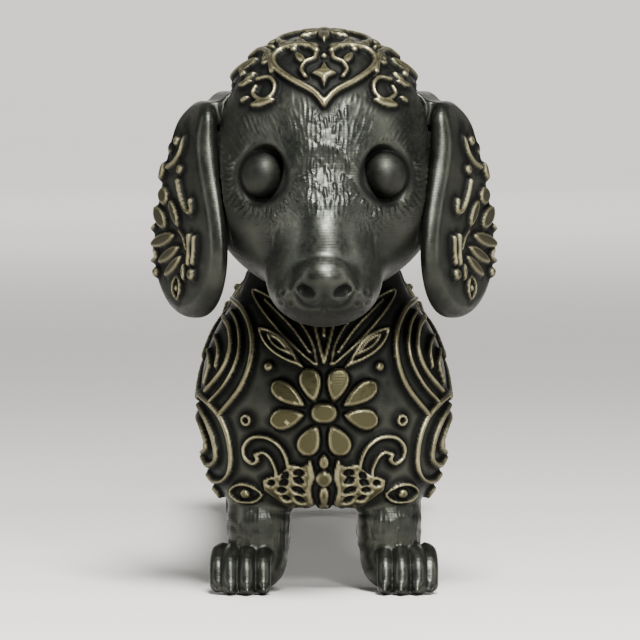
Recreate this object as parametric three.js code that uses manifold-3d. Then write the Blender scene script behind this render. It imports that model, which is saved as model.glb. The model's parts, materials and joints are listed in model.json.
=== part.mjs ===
// Articulated toy dachshund in relief-ornamented antique bronze plastic.
// The long body is a chain of short links on upright hinges, so that it winds like a snake.
// Millimetres, +Z up. The dog faces -Y, so its own left side is at +X.
// While it is modelled, y = 0 is the middle of the chest; at the end it is centred on its length.
import * as THREE from "three";
import { mergeVertices } from "three/addons/utils/BufferGeometryUtils.js";
import Module from "manifold-3d";

const wasm = await Module();
wasm.setup();

// ---- driving dimensions -------------------------------------------------------------------

const SPINE_LINKS = 9;
const TAIL_LINKS = 6;
const SPINE_PITCH = 8.2;
const TAIL_PITCH = 6.4;
const TAIL_TIP_LENGTH = 15;
const FACE_GAP = 0.3; // from a hinge axis to the point of each facing wall
const CLEARANCE = 0.4; // running clearance of a printed joint

const BACK_Z = 33;
const BELLY_Z = 9.8;
const TRUNK_HALF_WIDTH = 12.1; // at the shoulders and the haunches
const WAIST_TUCK = 0.9; // how much slimmer the trunk is half way along, on each side
const TRUNK_SQUARENESS = 2.5; // exponent of the trunk's section, where 2 is an ellipse
const CHEST_DEPTH = 0.75; // the chest's front-to-back radius as a share of its sideways radius

const CHEST_REAR_Y = 12.3; // axis of the first spine hinge
const HIPS_FRONT_Y = CHEST_REAR_Y + SPINE_LINKS * SPINE_PITCH;
const HIPS_LENGTH = 22;
const TAIL_ROOT_Y = HIPS_FRONT_Y + HIPS_LENGTH;
const TAIL_Z = 25;
const TAIL_ROOT_RADIUS = 3.5;
const TAIL_SLIMMING = 0.035; // radius lost over each millimetre of hinged tail

const SKULL = { y: -12, z: 47.2, radii: [12.1, 12.6, 12.8] };
const NOSE_Y = -30.5;
const NECK = { y: 0, flange: 5.4, stem: 3.9, low: 26, flangeTop: 28.6, mouth: 29, top: 36 };
const NOD = { y: -4, z: 41.5, eye: 3.2, pin: 1.5, halfWidth: 3.6, slotStart: 28, slotEnd: 60 };
const EAR = {
  x: 10,
  y: -12.5,
  z: 52,
  turn: 20, // how far its hinge is turned in towards the nose, in degrees
  offset: 4.3, // from the hinge axis out to the middle of the lobe
  knuckle: 1.9,
  knuckleHalf: 2.5, // half the knuckle's length
  armWidth: 4.6,
  pin: 0.9,
  pinHalf: 4, // half the pin's length
  bore: 1.25,
  swing: 35,
  thickness: 1.4, // of the lobe between its rounded edges
  edge: 1.3, // depth of the rounding on each face
  bevel: 1.1, // width of the rounding
};
const EYEBALL = { x: 6.7, y: -22.2, z: 45.3, radii: [2.3, 2, 2.3] };

// Half of a barrel's profile, as shares of its radius and of half its length.
const BARREL_END = 0.89;
const BARREL_FLAT = 0.45;

// The chest's outline as [radius, height] from the bottom to the top.
const CHEST_OUTLINE = [
  [0, 9.5],
  [10.2, 9.5],
  [11.6, 10.9],
  [12.7, 13.5],
  [13.3, 16.7],
  [13.5, 20.5],
  [12.8, 24.7],
  [11, 29.3],
  [9.3, 31.8],
  [8.3, 34.3],
  [7.6, 34.9],
  [0, 34.9],
];
const FORELEG = { x: 7.2, footY: -3.6, topY: -2.6, topZ: 18, foot: 3.2, top: 4.2, heelY: -3.4 };
const THIGH = { x: 8, behind: 10.5, z: 16.5, radii: [5.2, 8.2, 8.8] };
const PAW_X = 8;
const TOE_PITCH = 1.85;

// Sizes of the two hinges. Heights are measured up and down from the middle of the hinge.
const SPINE_HINGE = {
  pin: 1.5,
  bore: 1.9,
  knuckle: 3.2,
  pocket: 3.6,
  ring: 3,
  plateInner: 3.4,
  plateOuter: 6.8,
  pocketOuter: 7.2,
  wallAngle: 5.5,
};
const TAIL_HINGE = {
  pin: 0.75,
  bore: 1.1,
  knuckle: 1.75,
  pocket: 2.1,
  ring: 0.65,
  plateInner: 1,
  plateOuter: 2,
  pocketOuter: 9,
  wallAngle: 12,
};

const BRONZE = 0x4a463c;
const DARK_BRONZE = 0x3a372f;

// ---- solids ---------------------------------------------------------------------------------

/** A closed three.js geometry as a manifold-3d solid. */
function solid(geometry) {
  const bare = geometry.index ? geometry.toNonIndexed() : geometry.clone();
  for (const name of ["normal", "uv"]) bare.deleteAttribute(name);
  const merged = mergeVertices(bare, 1e-4);
  const corners = merged.index.array;
  const kept = [];
  for (let i = 0; i < corners.length; i += 3) {
    const [a, b, c] = [corners[i], corners[i + 1], corners[i + 2]];
    if (a !== b && b !== c && a !== c) kept.push(a, b, c);
  }
  const points = merged.attributes.position.array;
  const mesh = { numProp: 3, vertProperties: points, triVerts: new Uint32Array(kept) };
  return new wasm.Manifold(new wasm.Mesh(mesh));
}

/** A manifold-3d solid as a named three.js mesh. */
function piece(name, made, color = BRONZE) {
  const mesh = made.getMesh();
  const points = new Float32Array(mesh.numVert * 3);
  for (let i = 0; i < mesh.numVert; i++) {
    const start = i * mesh.numProp;
    points.set(mesh.vertProperties.subarray(start, start + 3), i * 3);
  }
  const geometry = new THREE.BufferGeometry();
  geometry.setAttribute("position", new THREE.BufferAttribute(points, 3));
  geometry.setIndex(new THREE.BufferAttribute(mesh.triVerts, 1));
  geometry.computeVertexNormals();
  const material = new THREE.MeshStandardMaterial({ color, roughness: 0.4, metalness: 0.85 });
  const result = new THREE.Mesh(geometry, material);
  result.name = name;
  return result;
}

/** All the solids in a list joined. */
const join = (solids) => solids.reduce((whole, next) => whole.add(next));

function ellipsoid([x, y, z], [rx, ry, rz], around = 16, down = 10) {
  const shape = new THREE.SphereGeometry(1, around, down).rotateX(Math.PI / 2);
  return solid(shape.scale(rx, ry, rz).translate(x, y, z));
}

/** A rod from one point to another that may taper. */
function rod(from, to, startRadius, endRadius = startRadius, sides = 12) {
  const start = new THREE.Vector3(...from);
  const end = new THREE.Vector3(...to);
  const along = end.clone().sub(start);
  const middle = start.clone().add(end).multiplyScalar(0.5);
  const turn = new THREE.Quaternion();
  turn.setFromUnitVectors(new THREE.Vector3(0, 1, 0), along.clone().normalize());
  const shape = new THREE.CylinderGeometry(endRadius, startRadius, along.length(), sides);
  return solid(shape.applyQuaternion(turn).translate(middle.x, middle.y, middle.z));
}

/** An upright cylinder on the centre plane, from one height to another. */
const post = (y, low, high, radius) => rod([0, y, low], [0, y, high], radius);

/** A profile of [radius, height] points turned about an upright axis on the centre plane. */
function turned(profile, y, depth = 1, sides = 24) {
  const points = profile.map(([radius, height]) => new THREE.Vector2(radius, height));
  const shape = new THREE.LatheGeometry(points, sides).rotateX(Math.PI / 2);
  return solid(shape.scale(1, depth, 1).translate(0, y, 0));
}

/** A box between two corners, tilted about the X axis through a pivot if asked. */
function block(low, high, tilt = 0, pivot = [0, 0, 0]) {
  const size = high.map((value, i) => value - low[i]);
  const [x, y, z] = high.map((value, i) => (value + low[i]) / 2 - pivot[i]);
  const shape = new THREE.BoxGeometry(...size).translate(x, y, z);
  return solid(shape.rotateX(THREE.MathUtils.degToRad(tilt)).translate(...pivot));
}

const BELOW_GROUND = block([-40, -60, -20], [40, 200, 0]);

// ---- hinges ---------------------------------------------------------------------------------

/** All the space past the V-shaped wall of a hinge. Side is 1 for behind the hinge, -1 for ahead. */
function pastWall(axisY, side, hinge) {
  const reach = 40;
  const wallY = axisY - side * FACE_GAP;
  const edgeY = wallY - side * reach * Math.tan(THREE.MathUtils.degToRad(hinge.wallAngle));
  const farY = wallY + side * reach;
  const corners = [[0, wallY], [reach, edgeY], [reach, farY], [-reach, farY], [-reach, edgeY]];
  const outline = new THREE.Shape(corners.map(([x, y]) => new THREE.Vector2(x, y)));
  return solid(new THREE.ExtrudeGeometry(outline, { depth: 80, bevelEnabled: false }));
}

/** Gives a piece the fork and the pin of the hinge behind it. */
function withFork(made, axisY, z, hinge) {
  const at = (low, high, radius) => post(axisY, z + low, z + high, radius);
  return made
    .subtract(pastWall(axisY, 1, hinge))
    .subtract(at(-hinge.plateInner, hinge.plateInner, hinge.pocket))
    .add(at(hinge.plateInner, hinge.plateOuter, hinge.knuckle))
    .add(at(-hinge.plateOuter, -hinge.plateInner, hinge.knuckle))
    .add(at(-hinge.plateInner - FACE_GAP, hinge.plateInner + FACE_GAP, hinge.pin));
}

/** Gives a piece the ring that turns on the pin of the hinge in front of it. */
function withRing(made, axisY, z, hinge) {
  const at = (low, high, radius) => post(axisY, z + low, z + high, radius);
  return made
    .subtract(pastWall(axisY, -1, hinge))
    .subtract(at(hinge.ring, hinge.pocketOuter, hinge.pocket))
    .subtract(at(-hinge.pocketOuter, -hinge.ring, hinge.pocket))
    .add(at(-hinge.ring, hinge.ring, hinge.knuckle))
    .subtract(at(-hinge.ring - FACE_GAP, hinge.ring + FACE_GAP, hinge.bore));
}

// ---- trunk ----------------------------------------------------------------------------------

const SPINE_Z = (BACK_Z + BELLY_Z) / 2;

/** The waist's share at a place along the trunk: 0 at the chest and the haunches, 1 half way. */
function waistShare(y) {
  const share = THREE.MathUtils.clamp((y - CHEST_REAR_Y) / (HIPS_FRONT_Y - CHEST_REAR_Y), 0, 1);
  return Math.sin(Math.PI * share);
}

/** A short length of trunk, a little fuller in its middle than at its ends. */
function barrel(startY, endY) {
  const half = (endY - startY) / 2;
  const middle = (startY + endY) / 2;
  const tuck = WAIST_TUCK * waistShare(middle);
  const front = [[0, -1], [BARREL_END, -1], [1, -BARREL_FLAT]];
  const rear = front.map(([radius, place]) => [radius, -place]).reverse();
  const points = [...front, ...rear].map(([radius, place]) => new THREE.Vector2(radius, place * half));
  const shape = new THREE.LatheGeometry(points, 20);
  const position = shape.attributes.position;
  for (let i = 0; i < position.count; i++) {
    const radius = Math.hypot(position.getX(i), position.getZ(i));
    const across = position.getX(i) / (radius || 1);
    const up = position.getZ(i) / (radius || 1);
    const norm = Math.abs(across) ** TRUNK_SQUARENESS + Math.abs(up) ** TRUNK_SQUARENESS;
    const stretch = radius ? norm ** (-1 / TRUNK_SQUARENESS) : 0;
    position.setX(i, across * radius * stretch);
    position.setZ(i, up * radius * stretch);
  }
  shape.scale(TRUNK_HALF_WIDTH - tuck, 1, (BACK_Z - BELLY_Z) / 2 - tuck);
  return solid(shape.translate(0, middle, SPINE_Z));
}

function spineLink(number) {
  const frontY = CHEST_REAR_Y + (number - 1) * SPINE_PITCH;
  const rearY = frontY + SPINE_PITCH;
  const ringed = withRing(barrel(frontY, rearY), frontY, SPINE_Z, SPINE_HINGE);
  return withFork(ringed, rearY, SPINE_Z, SPINE_HINGE);
}

// ---- legs -----------------------------------------------------------------------------------

/** A paw with four toes. It is cut flat where the dog stands on it. */
function paw(x, heelY) {
  const toes = [-1.5, -0.5, 0.5, 1.5].map((place) => {
    const setBack = Math.abs(place) > 1 ? 0.9 : 0;
    const middle = [x + place * TOE_PITCH, heelY - 4.6 + setBack, 1.75];
    return ellipsoid(middle, [1.15, 2.4, 2.15], 8, 5);
  });
  return join([ellipsoid([x, heelY - 1.6, 2.2], [3.5, 4.6, 2.9], 12, 8), ...toes]);
}

function foreleg(side) {
  const x = side * FORELEG.x;
  const leg = rod([x, FORELEG.footY, 2], [x, FORELEG.topY, FORELEG.topZ], FORELEG.foot, FORELEG.top);
  return join([leg, paw(side * PAW_X, FORELEG.heelY)]);
}

function hindLeg(side) {
  const thighY = HIPS_FRONT_Y + THIGH.behind;
  return join([
    ellipsoid([side * THIGH.x, thighY, THIGH.z], THIGH.radii),
    rod([side * 7.4, thighY + 3.5, 2], [side * 7.8, thighY + 1.5, 13], 3, 4.4),
    paw(side * PAW_X, thighY + 3.6),
  ]);
}

// ---- pieces ---------------------------------------------------------------------------------

/** The socket in which the foot of the neck swivels. */
function neckSocket() {
  const wide = NECK.flange + CLEARANCE;
  const narrow = NECK.stem + CLEARANCE;
  const low = NECK.low - CLEARANCE;
  const foot = [[0, low], [wide, low], [wide, NECK.mouth]];
  const stem = [[narrow, NECK.mouth], [narrow, 40], [0, 40]];
  return turned([...foot, ...stem], NECK.y);
}

function chest() {
  const breast = turned(CHEST_OUTLINE, 0, CHEST_DEPTH);
  const body = join([breast, barrel(-3, CHEST_REAR_Y), foreleg(-1), foreleg(1)]);
  const cut = body.subtract(BELOW_GROUND).subtract(neckSocket());
  return withFork(cut, CHEST_REAR_Y, SPINE_Z, SPINE_HINGE);
}

function neckLink() {
  const { y, flange, stem, low, flangeTop, top } = NECK;
  const rim = [[0, low], [flange, low], [flange, flangeTop]];
  const foot = turned([...rim, [stem, flangeTop], [stem, top], [0, top]], y);
  const eye = rod([-NOD.halfWidth, NOD.y, NOD.z], [NOD.halfWidth, NOD.y, NOD.z], NOD.eye);
  const bore = rod([-10, NOD.y, NOD.z], [10, NOD.y, NOD.z], NOD.pin + CLEARANCE);
  const arm = rod([0, y, top - 1], [0, NOD.y, NOD.z], stem - 0.3, 3);
  return join([foot, arm, eye]).subtract(bore);
}

/** The space for the neck in the back of the head, open below and behind so that the head can nod. */
function neckPocket() {
  const wide = NOD.halfWidth + CLEARANCE;
  const reach = NOD.eye + CLEARANCE;
  const pivot = [0, NOD.y, NOD.z];
  const low = [-wide, NOD.y - reach, NOD.z - 20];
  const high = [wide, NOD.y + reach, NOD.z];
  const hollow = rod([-wide, NOD.y, NOD.z], [wide, NOD.y, NOD.z], reach);
  const slots = [0, 1 / 3, 2 / 3, 1].map((share) => {
    const tilt = THREE.MathUtils.lerp(NOD.slotStart, NOD.slotEnd, share);
    return block(low, high, tilt, pivot);
  });
  return join([hollow, ...slots]);
}

function eyeball(side) {
  return ellipsoid([side * EYEBALL.x, EYEBALL.y, EYEBALL.z], EYEBALL.radii, 12, 8);
}

/** Puts a shape made at the ear's hinge, with X out and Y along the hinge, where the ear is. */
function atEar(shape, side) {
  const turn = THREE.MathUtils.degToRad(EAR.turn);
  const out = new THREE.Vector3(side * Math.cos(turn), -Math.sin(turn), 0);
  const up = new THREE.Vector3(0, 0, 1);
  const basis = new THREE.Matrix4().makeBasis(out, up.clone().cross(out), up);
  return solid(shape.applyMatrix4(basis).translate(side * EAR.x, EAR.y, EAR.z));
}

/** A rod along the ear's hinge. */
function earPin(side, radius, halfLength) {
  return atEar(new THREE.CylinderGeometry(radius, radius, 2 * halfLength, 12), side);
}

/** The ear's long lobe, hanging from its hinge. It can be grown to make room for itself. */
function earLobe(side, grow = 0) {
  const outline = new THREE.Shape();
  outline.moveTo(-3.4, 2);
  outline.bezierCurveTo(-6.4, -2, -6.2, -8, -6.9, -15);
  outline.bezierCurveTo(-7.4, -24.6, 7.4, -24.6, 6.9, -15);
  outline.bezierCurveTo(6.2, -8, 6.4, -2, 3.4, 2);
  outline.lineTo(-3.4, 2);
  const lobe = new THREE.ExtrudeGeometry(outline, {
    depth: EAR.thickness,
    curveSegments: 6,
    bevelThickness: EAR.edge + grow,
    bevelSize: EAR.bevel,
    bevelOffset: grow - EAR.bevel,
    bevelSegments: 2,
  });
  const turn = new THREE.Matrix4().makeBasis(
    new THREE.Vector3(0, 1, 0),
    new THREE.Vector3(0, 0, 1),
    new THREE.Vector3(1, 0, 0),
  );
  lobe.translate(0, 0, -EAR.thickness / 2).applyMatrix4(turn);
  return atEar(lobe.translate(EAR.offset, 0, 0), side);
}

function ear(side) {
  const arm = new THREE.BoxGeometry(EAR.offset, EAR.armWidth, 2 * EAR.knuckle);
  const knuckle = earPin(side, EAR.knuckle, EAR.knuckleHalf);
  const solids = [earLobe(side), knuckle, atEar(arm.translate(EAR.offset / 2, 0, 0), side)];
  return join(solids).subtract(earPin(side, EAR.bore, EAR.knuckleHalf + 1));
}

/** The recess in the side of the head in which an ear's hinge works, and the room for the ear. */
function earRecess(side) {
  const reach = EAR.knuckle + CLEARANCE;
  const halfLength = EAR.knuckleHalf + CLEARANCE;
  const arms = [0, 0.5, 1].map((share) => {
    const arm = new THREE.BoxGeometry(8, 2 * halfLength, 2 * reach).translate(4, 0, 0);
    return atEar(arm.rotateY(-THREE.MathUtils.degToRad(EAR.swing * share)), side);
  });
  return join([earPin(side, reach, halfLength), ...arms, earLobe(side, CLEARANCE)]);
}

function head() {
  const solids = [
    ellipsoid([0, SKULL.y, SKULL.z], SKULL.radii, 20, 14),
    ellipsoid([0, -16, 40.6], [10, 8.6, 7]),
    rod([0, -19, 39.6], [0, -28, 35.4], 8.2, 5.4),
    ellipsoid([0, -26.6, 34.4], [5.6, 4, 4.9]),
    ellipsoid([0, NOSE_Y + 1.8, 36.2], [2.9, 1.8, 1.9], 12, 8),
    eyeball(-1),
    eyeball(1),
  ];
  const pinEnd = NOD.halfWidth + 2;
  const nodPin = rod([-pinEnd, NOD.y, NOD.z], [pinEnd, NOD.y, NOD.z], NOD.pin);
  const earPins = [-1, 1].map((side) => earPin(side, EAR.pin, EAR.pinHalf));
  const shell = join(solids).subtract(neckPocket()).subtract(earRecess(-1)).subtract(earRecess(1));
  return join([shell, nodPin, ...earPins]);
}

function hips() {
  const rump = ellipsoid([0, HIPS_FRONT_Y + 8, SPINE_Z], [12.1, 11.5, 11.4], 20, 12);
  const tailRoot = rod([0, HIPS_FRONT_Y + 14, TAIL_Z], [0, TAIL_ROOT_Y, TAIL_Z], 5.4, TAIL_ROOT_RADIUS);
  const front = barrel(HIPS_FRONT_Y, HIPS_FRONT_Y + 13);
  const body = join([front, rump, tailRoot, hindLeg(-1), hindLeg(1)]).subtract(BELOW_GROUND);
  const ringed = withRing(body, HIPS_FRONT_Y, SPINE_Z, SPINE_HINGE);
  return withFork(ringed, TAIL_ROOT_Y, TAIL_Z, TAIL_HINGE);
}

const tailRadius = (y) => TAIL_ROOT_RADIUS - TAIL_SLIMMING * (y - TAIL_ROOT_Y);

function tailLink(number) {
  const frontY = TAIL_ROOT_Y + (number - 1) * TAIL_PITCH;
  const last = number === TAIL_LINKS;
  const rearY = frontY + (last ? TAIL_TIP_LENGTH : TAIL_PITCH);
  const endRadius = last ? 1.2 : tailRadius(rearY);
  const body = rod([0, frontY, TAIL_Z], [0, rearY, TAIL_Z], tailRadius(frontY), endRadius);
  if (last) {
    const tip = ellipsoid([0, rearY, TAIL_Z], [endRadius, endRadius, endRadius], 12, 6);
    return withRing(join([body, tip]), frontY, TAIL_Z, TAIL_HINGE);
  }
  return withFork(withRing(body, frontY, TAIL_Z, TAIL_HINGE), rearY, TAIL_Z, TAIL_HINGE);
}

// ---- the dog --------------------------------------------------------------------------------

const dog = new THREE.Group();
dog.add(piece("head", head()));
dog.add(piece("ear_left", ear(1)));
dog.add(piece("ear_right", ear(-1)));
dog.add(piece("neck_link", neckLink(), DARK_BRONZE));
dog.add(piece("chest", chest()));
for (let number = 1; number <= SPINE_LINKS; number++) {
  dog.add(piece(`spine_link_${number}`, spineLink(number)));
}
dog.add(piece("hips", hips()));
for (let number = 1; number <= TAIL_LINKS; number++) {
  dog.add(piece(`tail_link_${number}`, tailLink(number)));
}

const box = new THREE.Box3().setFromObject(dog);
dog.position.y = -(box.min.y + box.max.y) / 2;

export default dog;
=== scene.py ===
"""Articulated dachshund in antique bronze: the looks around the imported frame.

Shapes are worked out in millimetres, with y = 0 on the neck's upright axis and the dog facing -y.
Each moving piece is a solid held as signed distances in a block of small cells. Its skin is made into
a mesh, its relief ornament is raised from that mesh, and the mesh is then placed in the frame.
"""

import functools
import json
import math

import bpy
import numpy as np
import openvdb
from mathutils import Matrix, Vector


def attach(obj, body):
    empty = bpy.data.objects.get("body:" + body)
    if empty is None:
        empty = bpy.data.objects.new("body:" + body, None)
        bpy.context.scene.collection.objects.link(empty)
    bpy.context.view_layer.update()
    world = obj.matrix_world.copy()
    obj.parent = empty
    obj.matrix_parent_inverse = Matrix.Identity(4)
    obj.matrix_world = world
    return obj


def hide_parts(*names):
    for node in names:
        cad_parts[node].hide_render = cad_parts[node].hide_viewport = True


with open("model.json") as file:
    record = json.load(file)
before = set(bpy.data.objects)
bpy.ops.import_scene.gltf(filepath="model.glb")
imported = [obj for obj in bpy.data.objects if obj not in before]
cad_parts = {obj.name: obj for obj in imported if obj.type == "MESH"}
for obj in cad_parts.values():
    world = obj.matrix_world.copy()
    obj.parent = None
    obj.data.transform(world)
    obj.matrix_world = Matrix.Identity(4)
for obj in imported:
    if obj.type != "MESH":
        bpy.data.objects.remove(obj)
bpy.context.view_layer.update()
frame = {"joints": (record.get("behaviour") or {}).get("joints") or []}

MM = 0.001
JOINTS = {joint["name"]: joint for joint in frame["joints"]}
CHEST_Y = JOINTS["neck_turn"]["pos_m"][1]  # metres; y = 0 of the millimetre frame


def joint_mm(name):
    """Where a joint is, in the millimetre frame."""
    x, y, z = JOINTS[name]["pos_m"]
    return np.array([x / MM, (y - CHEST_Y) / MM, z / MM])


SPINE_LINKS = 9
TAIL_LINKS = 6
SPINE_Z = joint_mm("spine_hinge_1")[2]
CHEST_REAR = joint_mm("spine_hinge_1")[1]
PITCH = joint_mm("spine_hinge_2")[1] - CHEST_REAR
HIPS_FRONT = joint_mm(f"spine_hinge_{SPINE_LINKS + 1}")[1]
TAIL_ROOT = joint_mm("tail_hinge_1")[1]
TAIL_PITCH = joint_mm("tail_hinge_2")[1] - TAIL_ROOT
TAIL_Z = joint_mm("tail_hinge_1")[2]
NOD = joint_mm("head_nod")
EAR = joint_mm("ear_left_swing")
EAR_OUT = np.array([-JOINTS["ear_left_swing"]["axis"][1], JOINTS["ear_left_swing"]["axis"][0], 0])

FACE_GAP = 0.3  # how far a hinge's V-shaped walls keep from its axis
CLEARANCE = 0.4  # the room round whatever turns

# A hinge's radii, then its heights from its middle: the ring's top, the arms' inner and outer ends and
# the end of the space round the arms. The wall is the slope of its V, in degrees.
SPINE_HINGE = {
    "pin": 1.5, "bore": 1.9, "knuckle": 3.2, "pocket": 3.6,
    "ring": 3, "inner": 3.4, "outer": 6.8, "past": 7.2, "wall": 5.5,
}
TAIL_HINGE = {
    "pin": 0.75, "bore": 1.1, "knuckle": 1.75, "pocket": 2.1,
    "ring": 0.65, "inner": 1, "outer": 2, "past": 9, "wall": 12,
}

FINE = 0.16  # the cells of ornamented pieces
PLAIN = 0.25  # and of plain ones
BLEND_REACH = 1.6  # how far a blend reaches, in blends
FAR = 9.0  # stands for any distance that is too far to matter
WALL = 0.15  # half the width of the slope at an ornament's edge
HEM_STEP = 12  # degrees between the corners of an edge round the trunk


# ---- solids as signed distances ----


def smooth_union(a, b, blend):
    """The nearer of two distances, rounded over where they are alike so that no edge shows."""
    if blend <= 0:
        return np.minimum(a, b)
    share = np.maximum(1 - np.abs(a - b) / (BLEND_REACH * blend), 0)
    return np.minimum(a, b) - share**3 * blend / 4


class Solid:
    """A block of cells from low to high, each holding its distance from a growing solid's skin."""

    def __init__(self, low, high, step):
        self.step = step
        self.low = np.array(low, dtype=np.float32) - 3 * step
        self.count = np.ceil((np.array(high) - self.low) / step).astype(int) + 4
        self.cells = np.full(self.count, FAR, dtype=np.float32)

    def _within(self, shape, margin):
        """The part of the block near a shape, as slices and open coordinates."""
        start = np.floor((shape.low - margin - self.low) / self.step).astype(int)
        end = np.ceil((shape.high + margin - self.low) / self.step).astype(int) + 1
        start = np.clip(start, 0, self.count)
        end = np.clip(end, start, self.count)
        slices = tuple(slice(a, b) for a, b in zip(start, end))
        axes = [self.low[i] + self.step * np.arange(start[i], end[i], dtype=np.float32) for i in range(3)]
        x = axes[0][:, None, None]
        y = axes[1][None, :, None]
        z = axes[2][None, None, :]
        return slices, x, y, z

    def add(self, shape, blend=0.0):
        slices, x, y, z = self._within(shape, BLEND_REACH * blend + 4 * self.step)
        self.cells[slices] = smooth_union(self.cells[slices], shape.distance(x, y, z), blend)

    def cut(self, shape, blend=0.0):
        slices, x, y, z = self._within(shape, BLEND_REACH * blend + 4 * self.step)
        self.cells[slices] = -smooth_union(-self.cells[slices], shape.distance(x, y, z), blend)

    def skin(self):
        """The solid's skin as vertices and quads."""
        band = 3 * self.step
        grid = openvdb.FloatGrid(band)
        grid.copyFromArray(np.clip(self.cells, -band, band))
        points, quads = grid.convertToQuads(isovalue=0.0)
        return points * self.step + self.low, quads


class Shape:
    """A distance function with the box that holds its solid."""

    def __init__(self, distance, low, high):
        self.distance = distance
        self.low = np.array(low, dtype=float)
        self.high = np.array(high, dtype=float)


EVERYWHERE = (-1000, -1000, -1000), (1000, 1000, 1000)


def ellipsoid(centre, radii):
    """An ellipsoid along the axes, with its distance nearly true close to its skin."""
    (cx, cy, cz), (rx, ry, rz) = centre, radii

    def distance(x, y, z):
        x, y, z = (x - cx) / rx, (y - cy) / ry, (z - cz) / rz
        near = np.sqrt(x * x + y * y + z * z)
        slope = np.sqrt((x / rx) ** 2 + (y / ry) ** 2 + (z / rz) ** 2)
        return near * (near - 1) / np.maximum(slope, 1e-6)

    centre, radii = np.array(centre), np.array(radii)
    return Shape(distance, centre - radii, centre + radii)


def rod(start, end, radius, end_radius=None):
    """A rod with round ends that may taper."""
    end_radius = radius if end_radius is None else end_radius
    start, end = np.array(start, dtype=float), np.array(end, dtype=float)
    along = end - start
    length2 = float(along @ along)

    def distance(x, y, z):
        x, y, z = x - start[0], y - start[1], z - start[2]
        share = np.clip((x * along[0] + y * along[1] + z * along[2]) / length2, 0, 1)
        x, y, z = x - share * along[0], y - share * along[1], z - share * along[2]
        return np.sqrt(x**2 + y**2 + z**2) - (radius + share * (end_radius - radius))

    reach = max(radius, end_radius)
    return Shape(distance, np.minimum(start, end) - reach, np.maximum(start, end) + reach)


def chain(points, radius):
    """A bent rod through a few points."""
    rods = [rod(start, end, radius) for start, end in zip(points, points[1:])]

    def distance(x, y, z):
        return functools.reduce(np.minimum, (part.distance(x, y, z) for part in rods))

    return Shape(distance, np.min(points, 0) - radius, np.max(points, 0) + radius)


def cylinder(start, end, radius, edge=0.15):
    """A straight cylinder with slightly rounded edges."""
    start, end = np.array(start, dtype=float), np.array(end, dtype=float)
    length = float(np.linalg.norm(end - start))
    along = (end - start) / length
    middle = (start + end) / 2

    def distance(x, y, z):
        x, y, z = x - middle[0], y - middle[1], z - middle[2]
        level = x * along[0] + y * along[1] + z * along[2]
        across = np.sqrt(np.maximum(x * x + y * y + z * z - level * level, 0))
        out = across - radius + edge
        past = np.abs(level) - length / 2 + edge
        outside = np.sqrt(np.maximum(out, 0) ** 2 + np.maximum(past, 0) ** 2)
        return outside + np.minimum(np.maximum(out, past), 0) - edge

    return Shape(distance, np.minimum(start, end) - radius, np.maximum(start, end) + radius)


def wedge(axis_y, side, hinge):
    """All the space past a hinge's V-shaped wall. Side is 1 for behind the hinge, -1 for ahead."""
    slope = math.radians(hinge["wall"])

    def distance(x, y, z):
        back = (y - axis_y) * side + FACE_GAP + np.abs(x) * math.tan(slope)
        return -back * math.cos(slope)

    return Shape(distance, *EVERYWHERE)


def past_plane(spot, normal):
    """All the space past a plane through a spot, on the side to which the normal points."""
    level = float(np.dot(spot, normal))
    return Shape(lambda x, y, z: level - x * normal[0] - y * normal[1] - z * normal[2], *EVERYWHERE)


def below(height):
    """All the space under a height."""
    return Shape(lambda x, y, z: z - height, *EVERYWHERE)


def plank(centre, half, axes=np.eye(3), edge=0.1):
    """A box given by its half sizes along its own three axes."""
    centre, half, axes = (np.array(value, dtype=float) for value in (centre, half, axes))

    def distance(x, y, z):
        x, y, z = x - centre[0], y - centre[1], z - centre[2]
        past = [np.abs(x * a[0] + y * a[1] + z * a[2]) - h + edge for a, h in zip(axes, half)]
        outside = np.sqrt(sum(np.maximum(p, 0) ** 2 for p in past))
        return outside + np.minimum(np.maximum(np.maximum(past[0], past[1]), past[2]), 0) - edge

    reach = np.abs(axes.T) @ half
    return Shape(distance, centre - reach, centre + reach)


def barrel(axis_y, z, low, high, radius):
    """An upright cylinder on a hinge's axis, from low to high above the hinge's middle."""
    return cylinder((0, axis_y, z + low), (0, axis_y, z + high), radius)


def fork(solid, axis_y, z, hinge, edge=0.3):
    """Gives a solid the fork and the pin of the hinge behind it."""
    inner, outer, pin_end = hinge["inner"], hinge["outer"], hinge["inner"] + FACE_GAP
    solid.cut(wedge(axis_y, 1, hinge), edge)
    solid.cut(barrel(axis_y, z, -inner, inner, hinge["pocket"]), 0.1)
    solid.add(barrel(axis_y, z, inner, outer, hinge["knuckle"]), 0.1)
    solid.add(barrel(axis_y, z, -outer, -inner, hinge["knuckle"]), 0.1)
    solid.add(barrel(axis_y, z, -pin_end, pin_end, hinge["pin"]), 0.1)


def ring(solid, axis_y, z, hinge, edge=0.3):
    """Gives a solid the ring that turns on the pin of the hinge in front of it."""
    top, past, bore_end = hinge["ring"], hinge["past"], hinge["ring"] + FACE_GAP
    solid.cut(wedge(axis_y, -1, hinge), edge)
    solid.cut(barrel(axis_y, z, top, past, hinge["pocket"]), 0.1)
    solid.cut(barrel(axis_y, z, -past, -top, hinge["pocket"]), 0.1)
    solid.add(barrel(axis_y, z, -top, top, hinge["knuckle"]), 0.1)
    solid.cut(barrel(axis_y, z, -bore_end, bore_end, hinge["bore"]), 0.1)


# ---- curves and relief ----


def curve(points, steps=8):
    """A smooth line through a few points, as a Catmull-Rom spline."""
    points = np.array(points, dtype=float)
    padded = np.vstack([2 * points[0] - points[1], points, 2 * points[-1] - points[-2]])
    line = []
    for a, b, c, d in zip(padded, padded[1:], padded[2:], padded[3:]):
        for t in np.arange(steps) / steps:
            line.append(b + 0.5 * t * (c - a + t * (2 * a - 5 * b + 4 * c - d + t * (3 * (b - c) + d - a))))
    line.append(points[-1])
    return np.array(line)


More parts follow.
